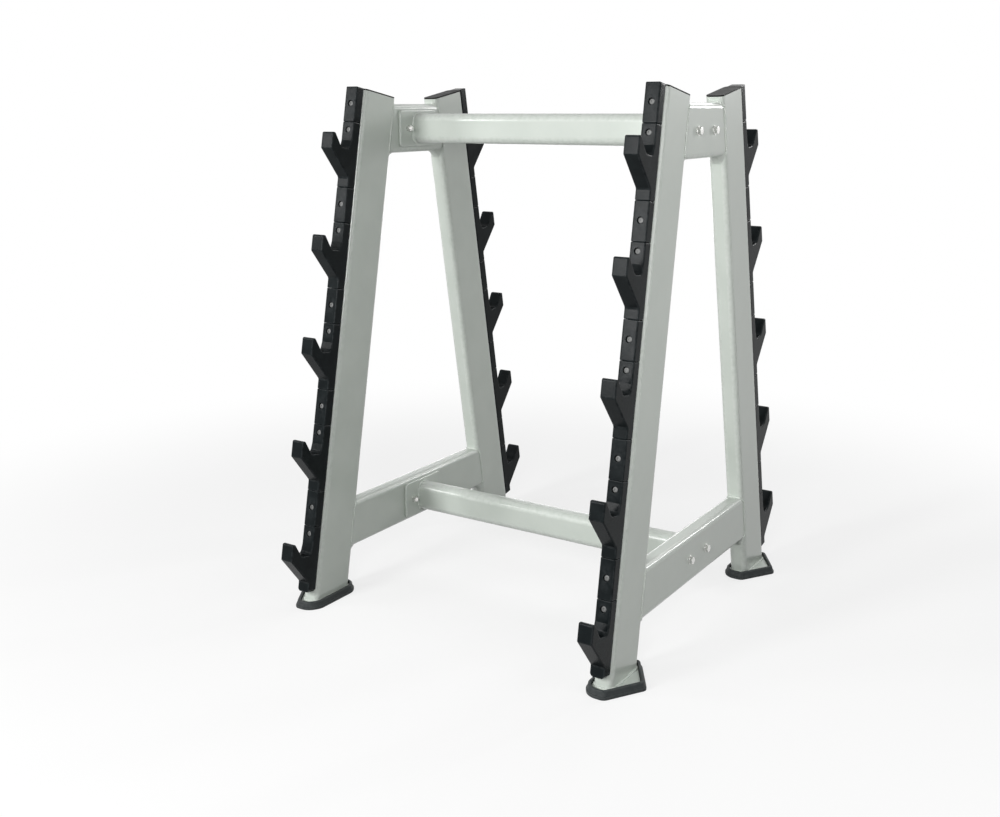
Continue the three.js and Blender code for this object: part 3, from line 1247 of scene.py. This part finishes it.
@dataclass(frozen=True)
class Grain:
    """Fine grain for the bump and broad mottling for colour and roughness."""

    fine_detail: float = 3.0
    broad_detail: float = 5.0
    spread: tuple[float, float] = (0.35, 0.65)

    def group(self) -> bpy.types.NodeTree:
        """Builds the shared node group.

        Returns:
            The group, with outputs Height and Mottle.
        """
        scales = ("Grain Scale", "Mottle Scale")
        nodes = shared_group("surface_grain", scales, ("Height", "Mottle"))
        inside, outside = nodes.tree.nodes["in"].outputs, nodes.tree.nodes["out"].inputs
        noises = []
        for scale, detail in zip(scales, (self.fine_detail, self.broad_detail)):
            noise = nodes.add("TexNoise", Detail=detail)
            nodes.join(inside["Vector"], noise.inputs["Vector"])
            nodes.join(inside[scale], noise.inputs["Scale"])
            noises.append(noise.outputs["Fac"])
        low, high = self.spread
        spread = nodes.add("MapRange", From_Min=low, From_Max=high)
        nodes.join(noises[1], spread.inputs["Value"])
        nodes.join(noises[0], outside["Height"])
        nodes.join(spread.outputs["Result"], outside["Mottle"])
        return nodes.tree


@dataclass(frozen=True)
class EdgeWearAndHighlight:
    """Scuffed edges and a painted edge highlight: the marked bends of the surface, broken up by
    noise.
    """

    scale: float = 90.0
    detail: float = 6.0
    band: tuple[float, float] = (0.35, 0.6)

    def group(self) -> bpy.types.NodeTree:
        """Builds the shared node group.

        Returns:
            The group, with output Mask.
        """
        nodes = shared_group("edge_wear_and_highlight", ("Amount",), ("Mask",))
        inside, outside = nodes.tree.nodes["in"].outputs, nodes.tree.nodes["out"].inputs
        bend = nodes.add("Attribute")
        bend.attribute_name = WEAR_AND_HIGHLIGHT_ATTRIBUTE
        noise = nodes.add("TexNoise", Scale=self.scale, Detail=self.detail)
        nodes.join(inside["Vector"], noise.inputs["Vector"])
        low, high = self.band
        band = nodes.add("MapRange", From_Min=low, From_Max=high)
        nodes.join(noise.outputs["Fac"], band.inputs["Value"])
        both = nodes.math("MULTIPLY", bend.outputs["Fac"], band.outputs["Result"])
        nodes.join(nodes.math("MULTIPLY", both, inside["Amount"]), outside["Mask"])
        return nodes.tree


@dataclass(frozen=True)
class Finish:
    """A finish: its colours, roughness and the scale and height of its texture."""

    coat: Coat
    base: Colour
    mottle: Colour
    worn_and_highlit: Colour
    roughness: tuple[float, float]
    grain_scale: float
    grain_height: float
    mottle_scale: float
    wear_and_highlight: float
    metallic: float = 0.0
    specular: float = 0.5
    coat_weight: float = 0.0
    coat_roughness: float = 0.2

    def material(self, grain: bpy.types.NodeTree, wear_and_highlight: bpy.types.NodeTree) -> bpy.types.Material:
        """Builds the material.

        Args:
            grain: the shared node group for grain and mottling.
            wear_and_highlight: the shared node group for scuffed edges and painted edge
                highlights.

        Returns:
            The finished material.
        """
        made = bpy.data.materials.new(self.coat.value)
        made.use_nodes = True
        nodes = Nodes(made.node_tree)
        shader = made.node_tree.nodes["Principled BSDF"].inputs
        shader["Metallic"].default_value = self.metallic
        shader["Specular IOR Level"].default_value = self.specular
        shader["Coat Weight"].default_value = self.coat_weight
        shader["Coat Roughness"].default_value = self.coat_roughness
        where = nodes.add("TexCoord")
        texture, rubbed_and_highlit = nodes.add("Group"), nodes.add("Group")
        texture.node_tree, rubbed_and_highlit.node_tree = grain, wear_and_highlight
        texture.inputs["Grain Scale"].default_value = self.grain_scale
        texture.inputs["Mottle Scale"].default_value = self.mottle_scale
        rubbed_and_highlit.inputs["Amount"].default_value = self.wear_and_highlight
        for node in (texture, rubbed_and_highlit):
            nodes.join(where.outputs["Object"], node.inputs["Vector"])
        mottle = texture.outputs["Mottle"]
        colour = nodes.mix(mottle, self.base, self.mottle)
        # The lighter edge colour laid on the marked bends is partly scuffing and partly a painted
        # highlight.
        nodes.join(nodes.mix(rubbed_and_highlit.outputs["Mask"], colour, self.worn_and_highlit), shader["Base Color"])
        low, high = self.roughness
        spread = nodes.add("MapRange", To_Min=low, To_Max=high)
        nodes.join(mottle, spread.inputs["Value"])
        nodes.join(spread.outputs["Result"], shader["Roughness"])
        bump = nodes.add("Bump", Strength=1.0, Distance=self.grain_height * MM)
        nodes.join(texture.outputs["Height"], bump.inputs["Height"])
        nodes.join(bump.outputs["Normal"], shader["Normal"])
        return made


FINISHES = (
    # The paint's pale edge colour is partly scuffing and partly a painted highlight along rounded
    # edges and flange outlines.
    Finish(
        Coat.PAINT, base=(0.583, 0.634, 0.58), mottle=(0.622, 0.67, 0.617),
        worn_and_highlit=(0.73, 0.765, 0.725), roughness=(0.38, 0.46), grain_scale=420, grain_height=0.05,
        mottle_scale=9, wear_and_highlight=0.45, specular=0.35, coat_weight=0.65, coat_roughness=0.13,
    ),
    Finish(
        Coat.PLASTIC, base=(0.008, 0.0105, 0.0115), mottle=(0.011, 0.0145, 0.0155),
        worn_and_highlit=(0.035, 0.04, 0.042), roughness=(0.19, 0.26), grain_scale=1400, grain_height=0.06,
        mottle_scale=30, wear_and_highlight=0.5, specular=0.055,
    ),
    Finish(
        Coat.CAP, base=(0.012, 0.013, 0.013), mottle=(0.016, 0.017, 0.017),
        worn_and_highlit=(0.03, 0.03, 0.03), roughness=(0.45, 0.55), grain_scale=1100, grain_height=0.05,
        mottle_scale=30, wear_and_highlight=0.4, specular=0.1,
    ),
    Finish(
        Coat.RUBBER, base=(0.033, 0.039, 0.04), mottle=(0.044, 0.05, 0.051),
        worn_and_highlit=(0.066, 0.071, 0.071), roughness=(0.5, 0.65), grain_scale=900, grain_height=0.12,
        mottle_scale=26, wear_and_highlight=0.6, specular=0.2,
    ),
    Finish(
        Coat.ZINC, base=(0.62, 0.62, 0.60), mottle=(0.72, 0.72, 0.70),
        worn_and_highlit=(0.85, 0.85, 0.83), roughness=(0.22, 0.32), grain_scale=600, grain_height=0.03,
        mottle_scale=120, wear_and_highlight=0.6, metallic=1.0,
    ),
    Finish(
        Coat.SCREW, base=(0.125, 0.128, 0.125), mottle=(0.16, 0.163, 0.16),
        worn_and_highlit=(0.22, 0.22, 0.22), roughness=(0.45, 0.6), grain_scale=700, grain_height=0.04,
        mottle_scale=150, wear_and_highlight=0.6, metallic=0.4, specular=0.2,
    ),
)


@dataclass(frozen=True)
class SoftBox:
    """A flat lamp aimed at a point of the rack, in metres and watts."""

    name: str
    at: tuple[float, float, float]
    aim: tuple[float, float, float]
    size: tuple[float, float]
    power: float

    def place(self) -> None:
        """Adds the lamp to the scene."""
        data = bpy.data.lights.new(self.name, "AREA")
        data.shape, data.energy = "RECTANGLE", self.power
        data.size, data.size_y = self.size
        lamp = linked(self.name, data)
        lamp.location = self.at
        lamp.visible_camera = False
        lamp.rotation_mode = "QUATERNION"
        lamp.rotation_quaternion = (Vector(self.aim) - Vector(self.at)).to_track_quat("-Z", "Y")


@dataclass(frozen=True)
class Viewpoint:
    """The camera: its place in metres, its turn in degrees and its lens in millimetres."""

    at: tuple[float, float, float] = (1.765953, -2.914513, 1.422467)
    azimuth: float = 33.302
    elevation: float = 8.292
    roll: float = -0.244
    lens: float = 42.629
    sensor: float = 36.0
    shift: float = -0.13

    def place(self) -> None:
        """Adds the camera and makes it the scene's own."""
        a, e, r = (math.radians(v) for v in (self.azimuth, self.elevation, self.roll))
        back = Vector((math.sin(a) * math.cos(e), -math.cos(a) * math.cos(e), math.sin(e)))
        right = Vector((math.cos(a), math.sin(a), 0))
        up = back.cross(right)
        right, up = right * math.cos(r) + up * math.sin(r), up * math.cos(r) - right * math.sin(r)
        data = bpy.data.cameras.new("camera")
        data.sensor_fit, data.sensor_width, data.lens = "HORIZONTAL", self.sensor, self.lens
        data.shift_y = self.shift
        camera = linked("camera", data)
        turn = Matrix((right, up, back)).transposed().to_4x4()
        camera.matrix_world = Matrix.Translation(self.at) @ turn
        bpy.context.scene.camera = camera


@dataclass(frozen=True)
class Studio:
    """Floor, backdrop, lamps and camera, with lengths in metres."""

    floor_size: float = 60.0
    floor_tone: float = 0.26
    bounce_tone: float = 0.2
    fade: tuple[float, float] = (1.2, 2.8)
    ambient: float = 0.1
    lamps: tuple[SoftBox, ...] = (
        SoftBox("key_lamp", (1.5, -3.7, 1.9), (0, 0, 0.8), (0.8, 1.2), 48),
        SoftBox("sheen_lamp", (-1.15, -4.0, 2.0), (0, 0, 0.8), (0.7, 1.8), 98),
        SoftBox("fill_lamp", (-3.1, -3.5, 2.3), (0, 0, 0.8), (1.0, 1.0), 42),
        SoftBox("side_lamp", (2.05, -0.6, 1.35), (0.5, 0, 0.8), (1.0, 1.0), 9),
        SoftBox("back_lamp", (0.3, 4.0, 3.6), (0, 0, 0.7), (2.2, 1.4), 40),
        SoftBox("line_lamp", (1.98, 3.6, 2.05), (0, 0, 0.7), (0.25, 0.9), 24),
        SoftBox("edge_lamp", (-2.5, 3.5, 0.7), (0, 0, 0.4), (2.2, 0.5), 12),
    )

    def place(self) -> None:
        """Sets up everything that isn't part of the rack."""
        bpy.context.scene.view_settings.view_transform = "Standard"
        self.backdrop()
        self.floor()
        for lamp in self.lamps:
            lamp.place()
        Viewpoint().place()

    def backdrop(self) -> None:
        """Makes a white backdrop that gives the rack only a plain level of light."""
        world = bpy.data.worlds.new("backdrop")
        bpy.context.scene.world = world
        world.use_nodes = True
        nodes = Nodes(world.node_tree)
        light, shown = world.node_tree.nodes["Background"], nodes.add("Background")
        for node, strength in ((light, self.ambient), (shown, 1)):
            node.inputs["Color"].default_value = (1, 1, 1, 1)
            node.inputs["Strength"].default_value = strength
        both = nodes.blend(nodes.seen(), light, shown)
        nodes.join(both.outputs[0], world.node_tree.nodes["World Output"].inputs["Surface"])

    def floor(self) -> None:
        """Makes a pale floor that keeps the shadow and fades into the backdrop."""
        half = self.floor_size / 2
        corners = [(-half, -half, 0), (half, -half, 0), (half, half, 0), (-half, half, 0)]
        mesh = bpy.data.meshes.new("floor")
        mesh.from_pydata(corners, [], [(0, 1, 2, 3)])
        made = linked("floor", mesh)
        material = bpy.data.materials.new("pale_floor")
        material.use_nodes = True
        mesh.materials.append(material)
        material.node_tree.nodes.clear()
        nodes = Nodes(material.node_tree)
        pale = nodes.add("BsdfDiffuse", Color=(self.floor_tone,) * 3 + (1,))
        plain = nodes.add("BsdfDiffuse", Color=(self.bounce_tone,) * 3 + (1,))
        glow, white = nodes.add("Emission", Strength=1 - self.floor_tone), nodes.add("Emission")
        near = nodes.add("AddShader")
        for number, shader in enumerate((pale, glow)):
            nodes.join(shader.outputs[0], near.inputs[number])
        length = nodes.add("VectorMath")
        length.operation = "LENGTH"
        nodes.join(nodes.add("TexCoord").outputs["Object"], length.inputs[0])
        low, high = self.fade
        far = nodes.add("MapRange", From_Min=low, From_Max=high)
        far.interpolation_type = "SMOOTHSTEP"
        nodes.join(length.outputs["Value"], far.inputs["Value"])
        shown = nodes.blend(far.outputs["Result"], near, white)
        both = nodes.blend(nodes.seen(), plain, shown)
        nodes.join(both.outputs[0], nodes.add("OutputMaterial").inputs["Surface"])


def main() -> None:
    """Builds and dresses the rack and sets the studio."""
    logging.basicConfig(level=logging.INFO, format="%(name)s: %(message)s")
    mould = BlockMould()
    shapes = mould.make()
    crossings = (
        (Level.UPPER, SIZES.upper_cross_height, SIZES.upper_cross_centre),
        (Level.LOWER, SIZES.lower_cross_height, SIZES.lower_cross_centre),
    )
    parts: list[Assembly] = []
    for side in Side:
        for end in End:
            parts.append(Stand(f"{side.value}_{end.value}", side, end, shapes, mould))
        for level, height, centre in crossings:
            parts.append(CrossTube(side.value, side, level, height, centre))
    for level, _, centre in crossings:
        parts.append(Beam(f"{level.value}_beam", centre))
    grain, wear_and_highlight = Grain().group(), EdgeWearAndHighlight().group()
    finishes = {f.coat: f.material(grain, wear_and_highlight) for f in FINISHES}
    for part in parts:
        part.build()
        part.dress(finishes)
        log.info("%s: %d pieces", part.name, len(part.made))
    Studio().place()


if __name__ == "__main__":
    main()
